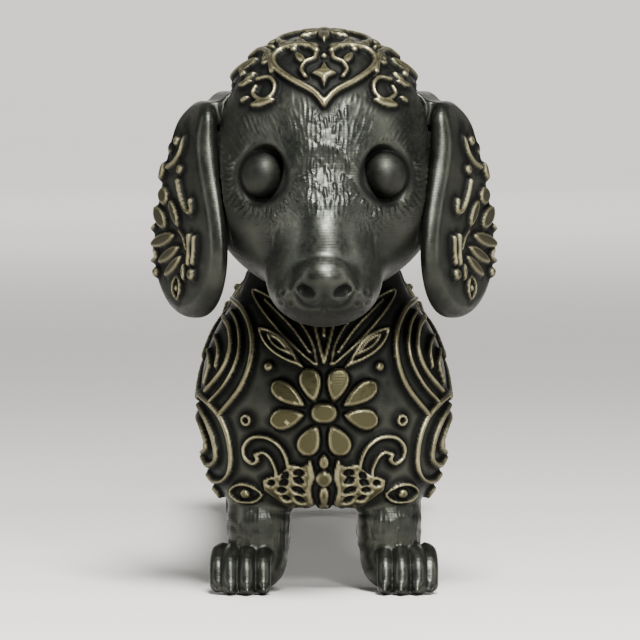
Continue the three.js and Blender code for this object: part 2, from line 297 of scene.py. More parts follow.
def smoothstep(low, high, value):
    share = np.clip((value - low) / (high - low), 0, 1)
    return share * share * (3 - 2 * share)


def from_stretch(places, start, end):
    """How far places are from a straight stretch."""
    along = end - start
    share = np.clip((places - start) @ along / max(float(along @ along), 1e-9), 0, 1)
    return np.linalg.norm(places - start - share[:, None] * along, axis=1)


class Relief:
    """Raised ornament on a mesh's vertices: how high each one stands and how near the ornament is."""

    def __init__(self, points, place):
        self.points = points
        self.place = place  # takes an ornament's flat (a, b) to a point on the surface
        self.height = np.zeros(len(points))
        # near is also lowered by shade_face and throat where painted shade is wanted
        self.near = np.full(len(points), FAR)

    def _near(self, points, margin):
        inside = (self.points > points.min(0) - margin) & (self.points < points.max(0) + margin)
        return np.nonzero(inside.all(1))[0]

    def _raise(self, chosen, distance, height):
        self.height[chosen] = np.maximum(self.height[chosen], height * smoothstep(WALL, -WALL, distance))
        self.near[chosen] = np.minimum(self.near[chosen], distance)

    def line(self, points, width=0.5, height=0.5):
        """A raised line through a few flat points, curved unless there are only two."""
        flat = curve(points) if len(points) > 2 else np.linspace(*np.array(points, dtype=float), 7)
        spots = np.array([self.place(*spot) for spot in flat])
        chosen = self._near(spots, width / 2 + 1.2)
        best = np.full(len(chosen), FAR)
        here = self.points[chosen]
        for start, end in zip(spots, spots[1:]):
            best = np.minimum(best, from_stretch(here, start, end) - width / 2)
        self._raise(chosen, best, height)

    def keep(self, share):
        """Fades the ornament out where the share falls to nothing."""
        self.height *= share
        self.near = self.near * share + FAR * (1 - share)

    def plate(self, corners, height):
        """A flat plate with straight sides, seen from the front."""
        corners = np.array(corners, dtype=float)
        chosen = np.nonzero(
            (self.points[:, [0, 2]] > corners.min(0) - 1.2).all(1)
            & (self.points[:, [0, 2]] < corners.max(0) + 1.2).all(1)
            & (self.points[:, 1] < -4)
        )[0]
        here = self.points[chosen][:, [0, 2]]
        away = np.full(len(chosen), FAR)
        inside = np.zeros(len(chosen), dtype=bool)
        for start, end in zip(corners, np.roll(corners, -1, 0)):
            along = end - start
            away = np.minimum(away, from_stretch(here, start, end))
            crosses = (start[1] > here[:, 1]) != (end[1] > here[:, 1])
            level = start[0] + (here[:, 1] - start[1]) * along[0] / (along[1] if along[1] else 1e-9)
            inside ^= crosses & (here[:, 0] < level)
        self._raise(chosen, np.where(inside, -away, away), height)

    def leaf(self, base, tip, width, height=0.5, fat=0.5, outline=0.0, blunt=0.8, cut=False):
        """A leaf between two flat points, hollow inside an outline, or cut out of what is already raised.

        Fat says where along it the leaf is widest, and blunt how round its ends are: less is rounder.
        """
        start, end = self.place(*base), self.place(*tip)
        length = float(np.linalg.norm(end - start))
        along = (end - start) / length
        middle = self.place(*((np.array(base) + np.array(tip)) / 2))
        chosen = self._near(np.array([start, end, middle]), width / 2 + 1.2)
        here = self.points[chosen] - (start + end) / 2
        bow = middle - (start + end) / 2
        level = here @ along
        share = np.clip(level / length + 0.5, 0.001, 0.999)
        skew = share ** (math.log(0.5) / math.log(fat))
        half = width / 2 * np.sin(math.pi * skew) ** blunt
        centre = bow[None, :] * (1 - (2 * share - 1) ** 2)[:, None]
        across = np.linalg.norm(here - level[:, None] * along - centre, axis=1)
        past = np.maximum(np.abs(level) - length / 2, 0)
        distance = np.hypot(np.maximum(across - half, 0), past) + np.minimum(across - half, 0)
        if outline:
            distance = np.abs(distance + outline / 2) - outline / 2
        if cut:
            self.height[chosen] *= smoothstep(-WALL, WALL, distance)
            self.near[chosen] = np.maximum(self.near[chosen], -distance)
            return
        self._raise(chosen, distance, height)

    def disc(self, centre, radius, height=0.5, hole=0.0):
        """A disc, or a ring if it has a hole, whose size is its radius."""
        spot = self.place(*centre)
        chosen = self._near(np.array([spot]), radius + 1.2)
        away = np.linalg.norm(self.points[chosen] - spot, axis=1)
        distance = away - radius
        if hole:
            distance = np.abs(away - (radius + hole) / 2) - (radius - hole) / 2
        self._raise(chosen, distance, height)


def seen_along(points, axis, side=1):
    """Takes a flat place to the skin, seen along an axis from its high end or, at side -1, its low end."""
    cell = 0.4
    outer = points[points[:, axis] * side > (SPINE_Z if axis == 2 else 3)]
    others = [number for number in range(3) if number != axis]
    cells = np.round(outer[:, others] / cell).astype(int)
    first = cells.min(0)
    reach = np.zeros(cells.max(0) - first + 1)
    np.maximum.at(reach, tuple((cells - first).T), outer[:, axis] * side)

    def place(a, b):
        spot = np.zeros(3)
        at = np.clip(np.round(np.array([a, b]) / cell).astype(int) - first, 0, np.array(reach.shape) - 1)
        spot[others] = a, b
        spot[axis] = reach[tuple(at)] * side
        return spot

    return place


# ---- meshes ----


def vertex_normals(points, quads):
    """The way the skin faces at each vertex."""
    a, b, c, d = (points[quads[:, i]] for i in range(4))
    faces = np.cross(c - a, d - b)
    total = np.zeros_like(points, dtype=float)
    for corner in range(4):
        for axis in range(3):
            total[:, axis] += np.bincount(quads[:, corner], faces[:, axis], len(points))
    return total / np.maximum(np.linalg.norm(total, axis=1), 1e-9)[:, None]


def make_piece(name, points, quads, marks, material):
    """A mesh object from millimetre points, with a number at each vertex for every mark."""
    mesh = bpy.data.meshes.new(name)
    mesh.vertices.add(len(points))
    placed = points * MM + np.array([0, CHEST_Y, 0])
    mesh.vertices.foreach_set("co", placed.astype(np.float32).ravel())
    mesh.loops.add(quads.size)
    mesh.loops.foreach_set("vertex_index", quads.astype(np.int32).ravel())
    mesh.polygons.add(len(quads))
    mesh.polygons.foreach_set("loop_start", np.arange(0, quads.size, 4, dtype=np.int32))
    mesh.update(calc_edges=True)
    mesh.shade_smooth()
    for mark, values in marks.items():
        layer = mesh.attributes.new(mark, "FLOAT", "POINT")
        layer.data.foreach_set("value", np.asarray(values, dtype=np.float32))
    mesh.materials.append(material)
    piece = bpy.data.objects.new(name, mesh)
    bpy.context.scene.collection.objects.link(piece)
    return piece


def soften(values, quads):
    """Each vertex's number averaged with its neighbours' numbers."""
    total, count = np.zeros(len(values)), np.zeros(len(values))
    for corner in range(4):
        for step in (1, 3):
            total += np.bincount(quads[:, corner], values[quads[:, (corner + step) % 4]], len(values))
            count += np.bincount(quads[:, corner], minlength=len(values))
    return 0.4 * values + 0.6 * total / np.maximum(count, 1)


def raised(points, quads, relief, hair=0.0):
    """The points with their ornament and hair raised, and the marks that their colours need."""
    normals = vertex_normals(points, quads)
    near = relief.near
    height = soften(soften(relief.height, quads), quads) + hair * smoothstep(0.1, 0.6, near)
    gilt = smoothstep(0.0, -0.12, near)
    # painted shade in the recess beside the ornament, darkest right next to it
    painted_recess_shade = smoothstep(1.3, 0.1, near) * (1 - gilt)
    # rim lightens the brass just inside an ornament's edge: partly rubbed wear, partly a painted highlight
    rim = smoothstep(0.0, -0.06, near) * smoothstep(-0.34, -0.18, near)
    return points + normals * height[:, None], {"gilt": gilt, "painted_recess_shade": painted_recess_shade, "rim": rim}


def stand(name, node, points, quads, marks):
    """Puts a skin in the frame in place of a node, riding on the body of that name."""
    piece = make_piece(name, points, quads, marks, BRONZE)
    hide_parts(node)
    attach(piece, node)


# ---- material ----


class Nodes:
    """A short way to build a material's nodes."""

    def __init__(self, name):
        self.material = bpy.data.materials.new(name)
        self.material.use_nodes = True
        self.tree = self.material.node_tree
        self.shader = self.tree.nodes["Principled BSDF"]
        self.place = self.node("ShaderNodeTexCoord").outputs["Object"]

    def node(self, kind, **settings):
        made = self.tree.nodes.new(kind)
        for key, value in settings.items():
            setattr(made, key, value)
        return made

    def feed(self, socket, value):
        if isinstance(value, bpy.types.NodeSocket):
            self.tree.links.new(value, socket)
        else:
            socket.default_value = value

    def mark(self, name):
        """A number that the mesh holds at its vertices."""
        return self.node("ShaderNodeAttribute", attribute_name=name).outputs["Fac"]

    def math(self, operation, *values):
        made = self.node("ShaderNodeMath", operation=operation)
        for socket, value in zip(made.inputs, values):
            self.feed(socket, value)
        return made.outputs[0]

    def spread(self, value, low, high, to_low=0.0, to_high=1.0):
        """A value that goes from one number to another while another value goes from low to high."""
        made = self.node("ShaderNodeMapRange", clamp=True)
        for socket, number in zip(made.inputs, (value, low, high, to_low, to_high)):
            self.feed(socket, number)
        return made.outputs[0]

    def noise(self, scale, detail):
        made = self.node("ShaderNodeTexNoise")
        self.feed(made.inputs["Vector"], self.place)
        made.inputs["Scale"].default_value = scale
        made.inputs["Detail"].default_value = detail
        return made.outputs["Fac"]

    def part(self, vector, axis):
        """One axis of a vector."""
        split = self.node("ShaderNodeSeparateXYZ")
        self.feed(split.inputs[0], vector)
        return split.outputs[axis]

    def mix(self, share, first, second):
        made = self.node("ShaderNodeMix", data_type="RGBA")
        self.feed(made.inputs["Factor"], share)
        self.feed(made.inputs["A"], first)
        self.feed(made.inputs["B"], second)
        return made.outputs["Result"]


LAYER_MM = 0.3
PEWTER = (0.021, 0.023, 0.019, 1)
PEWTER_WORN = (0.17, 0.17, 0.135, 1)
BRASS = (0.052, 0.047, 0.023, 1)
# bright brass at edges: rubbed wear and a painted highlight
BRASS_RUBBED_AND_LIT = (0.32, 0.29, 0.17, 1)
# near-black that the painted shade is mixed towards
SHADE_BLACK = (0.0025, 0.0025, 0.0025, 1)


def bronze_painted_shade(n):
    """How much painted shade each spot gets: in the recess beside ornament, in hollows and where the skin
    faces down.
    """
    # painted shade in hollows, from concave pointiness
    hollow = n.spread(n.node("ShaderNodeNewGeometry").outputs["Pointiness"], 0.495, 0.44)
    painted_recess_shade = n.math("MULTIPLY", n.mark("painted_recess_shade"), 0.93)
    painted_shade = n.math("MAXIMUM", painted_recess_shade, n.math("MULTIPLY", hollow, 0.8))
    # painted shade where the skin faces down
    facing_up = n.part(n.node("ShaderNodeTexCoord").outputs["Normal"], "Z")
    return n.math("MAXIMUM", painted_shade, n.spread(facing_up, -0.05, -0.75, 0, 0.75))


def bronze_colour(n, painted_shade):
    """Dark metal in patches, with brass on top of the ornament, lightened at its edges partly by rubbed wear
    and partly as a painted highlight; the painted shade mixes it all towards near-black.
    """
    blotch = n.noise(260, 4)
    # convex edges lighten the brass: partly rubbed wear, partly a painted highlight
    rubbed_and_lit = n.spread(n.node("ShaderNodeNewGeometry").outputs["Pointiness"], 0.512, 0.57)
    rubbed_and_lit = n.math("MULTIPLY", rubbed_and_lit, n.spread(blotch, 0.3, 0.65, 0.25, 1))
    rim = n.math("MULTIPLY", n.mark("rim"), n.spread(blotch, 0.25, 0.6, 0.3, 0.9))
    brass = n.mix(n.math("MAXIMUM", rim, rubbed_and_lit), BRASS, BRASS_RUBBED_AND_LIT)
    body = n.mix(n.math("MULTIPLY", n.spread(blotch, 0.35, 0.7), 0.2), PEWTER, PEWTER_WORN)
    return n.mix(painted_shade, n.mix(n.mark("gilt"), body, brass), SHADE_BLACK)


def bronze_bump(n):
    """Printed layers with a fine grain."""
    wave = n.math("SINE", n.math("MULTIPLY", n.part(n.place, "Z"), 2 * math.pi / (LAYER_MM * MM)))
    layers = n.math("MULTIPLY", n.math("ADD", wave, 1), 0.5)
    grain = n.math("ADD", n.math("MULTIPLY", layers, 0.5), n.math("MULTIPLY", n.noise(900, 4), 0.8))
    bump = n.node("ShaderNodeBump")
    bump.inputs["Strength"].default_value = 0.13
    bump.inputs["Distance"].default_value = 0.05 * MM
    n.feed(bump.inputs["Height"], grain)
    return bump.outputs[0]


def antique_bronze():
    n = Nodes("antique_bronze")
    painted_shade = bronze_painted_shade(n)
    rough = n.spread(n.noise(1900, 2), 0.3, 0.7, 0.30, 0.44)
    n.shader.inputs["Metallic"].default_value = 0.92
    n.feed(n.shader.inputs["Base Color"], bronze_colour(n, painted_shade))
    n.feed(n.shader.inputs["Roughness"], n.math("ADD", rough, n.math("MULTIPLY", painted_shade, 0.3)))
    n.feed(n.shader.inputs["Normal"], bronze_bump(n))
    return n.material


BRONZE = antique_bronze()

# ---- head ----

SKULL = np.array([0, -12, 47.2])
SKULL_RADII = np.array([12.1, 12.6, 12.8])
EYE = np.array([6.3, -21.3, 45.1])


def neck_pocket(solid):
    """The space for the neck in the back of the head."""
    wide, reach = 3.6 + CLEARANCE, 3.2 + CLEARANCE
    solid.cut(cylinder(NOD - [wide, 0, 0], NOD + [wide, 0, 0], reach), 0.3)
    for degrees in (28, 44, 60):
        angle = math.radians(degrees)
        down = np.array([0, math.sin(angle), -math.cos(angle)])
        across = np.array([0, math.cos(angle), math.sin(angle)])
        solid.cut(plank(NOD + 10 * down, (wide, reach, 10), ((1, 0, 0), across, down)), 0.3)


def ear_axes(side):
    """The ways out of the head and along the hinge at an ear."""
    out = EAR_OUT * [side, 1, 1]
    return out, np.cross([0, 0, 1], out)


EAR_OFFSET = 4.3
EAR_INNER = 2.0  # from the middle of the lobe to its inner face
EAR_OUTER = 1.1  # and to its outer face, which leans in towards the front by the slant
EAR_SLANT = math.tan(math.radians(9))


def ear_lobe(side, grow=0.0):
    """The ear's lobe as a flat drop with a round rim."""
    out, along = ear_axes(side)
    pivot = EAR * [side, 1, 1]
    top, bottom, top_radius, bottom_radius = -1.8, -14.9, 3.8, 7.2
    rim = 1.35

    def distance(x, y, z):
        x, y, z = x - pivot[0], y - pivot[1], z - pivot[2]
        level = x * along[0] + y * along[1]
        share = np.clip((z - top) / (bottom - top), 0, 1)
        swell = share * share * (3 - 2 * share)
        flat = np.hypot(level, z - (top + share * (bottom - top)))
        flat = flat - (top_radius + swell * (bottom_radius - top_radius)) + rim
        depth = x * out[0] + y * out[1] - EAR_OFFSET
        deep = np.maximum(depth - EAR_OUTER - EAR_SLANT * level, -EAR_INNER - depth) + rim
        outside = np.sqrt(np.maximum(flat, 0) ** 2 + np.maximum(deep, 0) ** 2)
        return outside + np.minimum(np.maximum(flat, deep), 0) - rim - grow

    middle = pivot + out * EAR_OFFSET + [0, 0, -10]
    return Shape(distance, middle - [9, 10, 14], middle + [9, 10, 14])


def ear_recess(solid, side):
    """The recess in the side of the head in which an ear's hinge works."""
    out, along = ear_axes(side)
    pivot = EAR * [side, 1, 1]
    reach = 1.9 + CLEARANCE
    solid.cut(cylinder(pivot - 2.9 * along, pivot + 2.9 * along, reach), 0.2)
    for degrees in (0, 17, 35):
        angle = math.radians(degrees)
        arm = out * math.cos(angle) + np.array([0, 0, math.sin(angle)])
        solid.cut(plank(pivot + 4 * arm, (4, 2.9, reach), (arm, along, np.cross(arm, along))), 0.2)
    solid.cut(ear_lobe(side, CLEARANCE), 0.2)
    solid.add(cylinder(pivot - 4 * along, pivot + 4 * along, 0.9))


def skull_point(a, b):
    """A point on the front of the skull from where it is seen from the front."""
    flat = (a / SKULL_RADII[0]) ** 2 + ((b - SKULL[2]) / SKULL_RADII[2]) ** 2
    return np.array([a, SKULL[1] - SKULL_RADII[1] * math.sqrt(max(1 - flat, 0)), b])


def crown(relief):
    """The heart, star and scrolls on the front of the head's cap."""
    heart = [
        (0, 52.3), (0.45, 53.0), (1.3, 53.8), (3.5, 55.0), (4.9, 56.1), (5.2, 57.0), (4.4, 57.9),
        (3.1, 58.3), (1.6, 58.3), (0.75, 57.8), (1.0, 57.05), (1.9, 56.6), (2.3, 55.9), (1.9, 55.2),
    ]
    relief.line(heart[:10], 0.72, 0.75)
    relief.line(heart[9:], 0.5, 0.7)
    relief.leaf((1.9, 56.5), (2.9, 57.6), 0.9, 0.6)
    star = [(0, 56.8), (0.42, 55.95), (1.4, 55.5), (0.42, 55.05), (0, 54.1)]
    relief.plate(star + [(-a, b) for a, b in star[3:0:-1]], 0.7)
    relief.disc((0, 57.3), 0.35, 0.6)
    hook = [(6.8, 54.9), (5.6, 55.1), (5.0, 54.4), (5.2, 53.4), (6.2, 52.8), (7.2, 53.4), (6.9, 54.2)]
    relief.line(hook, 0.5, 0.65)
    relief.leaf((4.8, 52.9), (7.6, 52.2), 1.0, 0.65)
    relief.leaf((7.3, 54.8), (8.8, 54.2), 0.8, 0.6)
    relief.leaf((7.6, 53.2), (8.6, 52.6), 0.7, 0.6)
    relief.line([(5.3, 55.7), (5.6, 57.4), (6.4, 57.9), (8.0, 57.2), (9.8, 55.7), (11.0, 53.8)], 0.65, 0.7)
    relief.leaf((6.6, 57.1), (8.8, 55.6), 1.1, 0.6, outline=0.35)
    relief.leaf((9.2, 54.9), (10.4, 53.2), 0.8, 0.6)


def cap_point(a, b):
    """A point on the top or the back of the skull from the side, and how far back it is."""
    tilt = math.radians(b)
    reach = math.sqrt(max(1 - (a / SKULL_RADII[0]) ** 2, 0))
    y = SKULL[1] - SKULL_RADII[1] * math.cos(tilt) * reach
    return np.array([a, y, SKULL[2] + SKULL_RADII[2] * math.sin(tilt) * reach])


def cap(relief):
    """The scrolls on the top and the back of the head, placed by degrees round it from the front."""
    for a, b, turn in ((2.0, 64, 8), (3.8, 67, 5), (5.6, 62, -3), (7.2, 58, -6)):
        relief.leaf((a - 0.3, b - 5), (a + 0.9, b + turn), 0.9, 0.65, fat=0.45)
    relief.disc((3.1, 61), 0.4, 0.6)
    relief.disc((8.3, 63), 0.45, 0.6)
    for middle in (80, 128):
        for tip in (-14, 14):
            relief.leaf((0, middle), (0, middle + tip), 1.3, 0.65, fat=0.45)
        relief.leaf((0, middle), (2.6, middle - 7), 1.1, 0.65, fat=0.5)
        relief.leaf((0, middle), (2.6, middle + 7), 1.1, 0.65, fat=0.5)
        relief.disc((0, middle), 0.75, 0.75)
        frame_line = [(0.8, -20), (3.2, -15), (4.6, -3), (4.2, 9), (2.2, 17)]
        relief.line([(a, middle + b) for a, b in frame_line], 0.6, 0.7)
    relief.line([(5.2, 72), (6.4, 82), (7.6, 92), (7.2, 104), (5.8, 105), (5.6, 97)], 0.55, 0.65)
    relief.line([(7.0, 68), (8.6, 80), (9.4, 94), (9.2, 108), (7.8, 118), (6.4, 114)], 0.6, 0.65)
    relief.line([(5.4, 122), (6.6, 132), (6.4, 144), (4.8, 148), (4.2, 140)], 0.55, 0.65)
    relief.leaf((6.3, 60), (5.4, 70), 1.0, 0.6)
    relief.disc((5.2, 86), 0.6, 0.6)
    relief.disc((4.9, 112), 0.6, 0.6, hole=0.25)
    relief.line([(0, 152), (2.0, 150), (4.0, 156), (3.0, 164), (1.2, 160)], 0.55, 0.6)


def hashed(*cells):
    """A steady pseudo-random number from 0 to 1 for every cell of a pattern."""
    total = sum(np.asarray(cell, dtype=float) * size for cell, size in zip(cells, (127.1, 311.7, 74.7)))
    return np.modf(np.abs(np.sin(total)) * 43758.5453)[0]


def dashes(across, along, width, length, height):
    """Short strokes of fur, side by side in wavering columns."""
    rough = np.floor(across / (3 * width))
    across = across + 0.22 * width * np.sin(1.7 * along + 6 * hashed(rough))
    column = np.floor(across / width)
    run = along / (length * (0.6 + 0.8 * hashed(column, 5))) + 7 * hashed(column)
    row = np.floor(run)
    ridge = np.sin(math.pi * (across / width - column)) ** 1.5
    swell = np.sin(math.pi * (run - row)) ** 0.6
    return height * hashed(column, row, 3) * ridge * swell


def head_fur(points):
    """Dashes down the bridge of the nose and finer hair over the brow and round the eyes."""
    x, z = points[:, 0], points[:, 2]
    front = smoothstep(-14, -18, points[:, 1])
    middle = x - 0.35
    bridge = smoothstep(2.6, 1.9, np.abs(middle)) * smoothstep(40.0, 43.6, z) * smoothstep(53.4, 51.4, z)
    away = np.stack([np.abs(x) - EYE[0], z - EYE[2]], 1)
    far = np.linalg.norm(away, axis=1)
    turn = np.arctan2(away[:, 1], away[:, 0])
    lashes = smoothstep(3.1, 3.5, far) * smoothstep(5.2, 3.9, far) * smoothstep(1.0, 0.3, turn)
    brow = smoothstep(46.5, 49, z) * smoothstep(56, 52.5, z)
    brow = brow + smoothstep(3.0, 4.2, far) * smoothstep(7.5, 5, far)
    fan = np.arctan2(x, z - 38)
    reach = np.hypot(x, z - 38)
    hair = dashes(fan * 12, reach, 0.4, 1.9, 0.085) * np.minimum(brow, 1) * (1 - bridge)
    return front * (
        dashes(middle, z, 0.44, 1.3, 0.3) * bridge
        + hair
        + dashes(turn * 4, far * 2, 0.55, 4.0, 0.25) * lashes * (1 - bridge)
    )


def head_solid():
    """The skull with its cheeks, jaw, muzzle, chin, eyes and nose, and the room for neck and ears."""
    solid = Solid((-12.9, -31.6, 29.2), (12.9, 1.4, 61), FINE)
    solid.add(ellipsoid(SKULL, SKULL_RADII))
    solid.add(ellipsoid((0, -14, 41.6), (11.4, 9.4, 7.9)), 3)
    solid.add(ellipsoid((0, -17, 40.6), (9.0, 8.2, 7.3)), 4)
    solid.add(rod((0, -17.4, 45.2), (0, -23.3, 35.6), 5.0, 4.7), 5)
    solid.add(rod((0, -21.2, 46.6), (0, -25.9, 38.4), 2.0, 2.3), 3.8)
    solid.add(ellipsoid((0, -24.0, 33.6), (5.5, 4.9, 4.0)), 2.5)
    for side in (-1, 1):
        x, y, z = EYE * [side, 1, 1]
        solid.add(ellipsoid((side * 2.5, -27.2, 32.6), (2.4, 2.0, 1.7)), 1.2)
        solid.cut(ellipsoid((x + side * 0.2, y - 1.9, z + 0.1), (2.85, 2.1, 3.05)), 0.9)
        solid.add(ellipsoid((x, y, z), (2.45, 2.6, 2.65)), 0.1)
    solid.add(ellipsoid((0, -27.7, 34.6), (3.2, 3.1, 2.6)), 0.8)
    for side in (-1, 1):
        solid.add(rod((side * 1.2, -29.6, 33.0), (side * 2.3, -29.0, 33.4), 1.0, 0.95), 0.6)
        solid.cut(rod((side * 1.5, -30.6, 33.15), (side * 2.35, -29.9, 33.5), 0.55), 0.5)
    neck_pocket(solid)
    for side in (-1, 1):
        ear_recess(solid, side)
    solid.add(cylinder(NOD - [5.6, 0, 0], NOD + [5.6, 0, 0], 1.5), 0.1)
    return solid


def head():
    points, quads = head_solid().skin()
    relief = Relief(mirrored(points), skull_point)
    crown(relief)
    relief.place = cap_point
    cap(relief)
    relief.keep(skull_cover(points))
    shade_face(relief)
    points, marks = raised(points, quads, relief, head_fur(points))
    stand("head_skin", "head", points, quads, marks)


def shade_face(relief):
    """Painted shade round each eye and in the nostrils, with the eyeball painted a little darker, and the
    grooves and dots of the mouth cut in and painted dark.
    """
    x, y, z = relief.points.T
    # painted shade in the socket round the eyeball
    eye_ring = np.hypot((x - EYE[0]) / 0.94, z - EYE[2])
    shade = np.where(eye_ring < 2.3, 0.7, np.abs(eye_ring - 2.6) * 1.6)
    relief.near = np.where(y < -19, np.minimum(relief.near, shade), relief.near)
    slant = math.radians(22)
    along = (x - 1.9) * math.cos(slant) + (z - 33.35) * math.sin(slant)
    across = (z - 33.35) * math.cos(slant) - (x - 1.9) * math.sin(slant)
    nostril = np.where(y < -26, np.hypot(along / 0.85, across / 0.5), FAR)
    # painted shade in the nostrils
    relief.near = np.where(nostril < 1.2, 0.2 * nostril, relief.near)
    grooves = (
        ([(0, 31.5), (1.3, 31.5), (2.4, 31.9), (3.1, 33.0)], 0.26),
        ([(0, 31.5), (0.7, 30.8), (2.2, 30.5), (3.8, 30.9)], 0.14),
    )
    for groove, depth in grooves:
        spots = curve(groove)
        stretches = [from_stretch(relief.points[:, [0, 2]], *ends) for ends in zip(spots, spots[1:])]
        away = np.where(y < -24.5, np.minimum(np.min(stretches, 0), FAR), FAR)
        relief.height -= depth * smoothstep(0.45, 0.05, away)
        # painted shade in the grooves
        relief.near = np.minimum(relief.near, 0.45 + away * 2)
    for dot in ((3.45, 31.9), (4.4, 33.2), (4.45, 32.0)):
        away = np.where(y < -22, np.hypot(x - dot[0], z - dot[1]), FAR)
        relief.height -= 0.2 * smoothstep(0.4, 0.1, away)
        # painted shade in the dots
        relief.near = np.minimum(relief.near, 0.2 + away * 2.5)


def mirrored(points):
    """Both sides of a piece folded onto its left side, so that ornament is drawn once."""
    return np.stack([np.abs(points[:, 0]), points[:, 1], points[:, 2]], 1)


def skull_cover(points):
    """1 on the skull's own skin, 0 inside the pockets that are cut into it."""
    out = (points - SKULL) / SKULL_RADII
    return smoothstep(0.93, 0.97, np.linalg.norm(out, axis=1))


# ---- ears ----


def ear_face(a, b):
    """A point on the ear's outer face, from its place along the hinge and its height."""
    out, along = ear_axes(1)
    return EAR + out * (EAR_OFFSET + EAR_OUTER + EAR_SLANT * a) + along * a + np.array([0, 0, b - EAR[2]])


def ear_ornament(relief):
    """A spray of leaves, with a stem, curls and rings, on the ear's outer face."""
    leaves = [
        ((3.4, 43.7), (3.7, 41.8), 2.24), ((5.8, 41.4), (3.0, 39.5), 1.904),
        ((6.5, 37.5), (1.2, 38.6), 1.456), ((4.7, 35.7), (0.1, 37.4), 1.288),
        ((3.3, 34.3), (-0.4, 36.4), 1.176), ((2.1, 42.3), (0.2, 39.6), 1.344),
        ((-0.9, 35.7), (-0.9, 33.9), 0.784),
    ]
    for base, tip, width in leaves:
        relief.leaf(base, tip, width, 0.5, blunt=0.5)
    relief.line([(0.2, 39.2), (-0.8, 38.4), (-1.5, 37.2)], 0.35, 0.45)
    relief.line([(5.6, 39.5), (7.2, 38.4), (7.4, 36.9), (6.6, 35.8), (5.2, 36.2), (5.6, 37.0)], 0.5, 0.55)
    relief.leaf((0.6, 34.4), (0.6, 31.8), 2.1, 0.55, outline=0.42, blunt=0.6)
    relief.leaf((0.6, 33.5), (0.6, 32.6), 0.6, 0.5)
    relief.disc((5.3, 34.6), 0.55, 0.55)
    relief.line([(-2.4, 38.7), (-2.5, 37.2), (-2.3, 35.7)], 0.6, 0.7)
    relief.line([(-3.6, 38.5), (-3.6, 37.2), (-3.3, 35.8)], 0.6, 0.7)
    relief.disc((-2.9, 34.6), 0.65, 0.7)
    relief.line([(0.2, 44.4), (-0.6, 42.6), (-1.8, 41.3), (-2.9, 41.3), (-2.7, 42.4)], 0.65, 0.65)
    relief.line([(0.0, 50.4), (-0.7, 49.0), (-0.4, 47.6), (0.9, 46.4), (2.5, 45.8)], 0.65, 0.65)
    relief.line([(2.3, 49.6), (2.9, 48.6), (2.3, 47.4)], 0.5, 0.6)
    relief.disc((-0.2, 45.6), 0.55, 0.6)
    relief.disc((0.9, 48.6), 0.6, 0.6, hole=0.2)
    relief.leaf((3.2, 46.4), (4.6, 44.2), 1.2, 0.6)


def ear(side):
    """An ear, worked out on the left and mirrored for the right."""
    pivot = EAR
    out, along = ear_axes(1)
    middle = pivot + out * EAR_OFFSET
    solid = Solid(middle - [5.5, 9, 24], middle + [6, 9, 3.5], FINE)
    solid.add(ear_lobe(1))
    solid.add(cylinder(pivot - 2.5 * along, pivot + 2.5 * along, 1.9), 0.3)
    solid.add(plank(pivot + out * 1.9 - [0, 0, 0.4], (1.9, 2.2, 1.4), (out, along, (0, 0, 1))), 0.5)
    slope = out * 0.8 + np.array([0, 0, 0.6])
    solid.cut(past_plane(pivot + out * (EAR_OFFSET + EAR_OUTER) - [0, 0, 1.4], slope), 2.5)
    solid.cut(cylinder(pivot - 3.5 * along, pivot + 3.5 * along, 1.25), 0.1)
    points, quads = solid.skin()
    relief = Relief(points, ear_face)
    ear_ornament(relief)
    normals = vertex_normals(points, quads)
    outer = smoothstep(EAR_OFFSET - 1, EAR_OFFSET - 0.5, (points - pivot) @ out)
    relief.keep(outer * smoothstep(0.1, 0.5, normals @ out))
    points, marks = raised(points, quads, relief)
    if side < 0:
        points, quads = points * [-1, 1, 1], quads[:, ::-1]
    name = "ear_left" if side > 0 else "ear_right"
    stand(name + "_skin", name, points, quads, marks)


# ---- neck ----


def neck():
    """The foot that swivels in the chest, the post and the barrel on the head's nodding pin."""
    low, foot_top, top = 26, 28.6, 36
    solid = Solid((-5.6, -7.6, 25.6), (5.6, 5.6, 45), PLAIN)
    solid.add(cylinder((0, 0, low), (0, 0, foot_top), 5.4))
    solid.add(cylinder((0, 0, low), (0, 0, top), 3.9), 0.3)
    solid.add(rod((0, 0, top - 1.5), NOD, 3.3, 3.0), 1)
    solid.add(cylinder(NOD - [3.6, 0, 0], NOD + [3.6, 0, 0], 3.2), 0.3)
    solid.cut(cylinder(NOD - [10, 0, 0], NOD + [10, 0, 0], 1.9), 0.2)
    points, quads = solid.skin()
    points, marks = raised(points, quads, Relief(points, None))
    stand("neck_skin", "neck_link", points, quads, marks)


# ---- trunk ----

TRUNK_HALF_WIDTH = 12.1
TRUNK_HALF_HEIGHT = 11.6
WAIST_TUCK = 0.9
SQUARENESS = 2.5


def waist(y):
    """How much slimmer the trunk is at y than at its ends."""
    share = min(max((y - CHEST_REAR) / (HIPS_FRONT - CHEST_REAR), 0), 1)
    return WAIST_TUCK * math.sin(math.pi * share)


def trunk(start, end, fullness=0.045):
    """A length of the trunk, fuller in its middle than at its ends."""
    middle, half = (start + end) / 2, (end - start) / 2
    wide, tall = TRUNK_HALF_WIDTH, TRUNK_HALF_HEIGHT

    def distance(x, y, z):
        flat = (np.abs(x) / wide) ** SQUARENESS + (np.abs(z - SPINE_Z) / tall) ** SQUARENESS
        flat = np.maximum(flat, 1e-6) ** (1 / SQUARENESS)
        girth = 1 - fullness * ((y - middle) / half) ** 2
        out = (flat - girth) * min(wide, tall)
        return -smooth_union(-out, half - np.abs(y - middle), 1.2)

    return Shape(distance, (-wide, start, SPINE_Z - tall), (wide, end, SPINE_Z + tall))


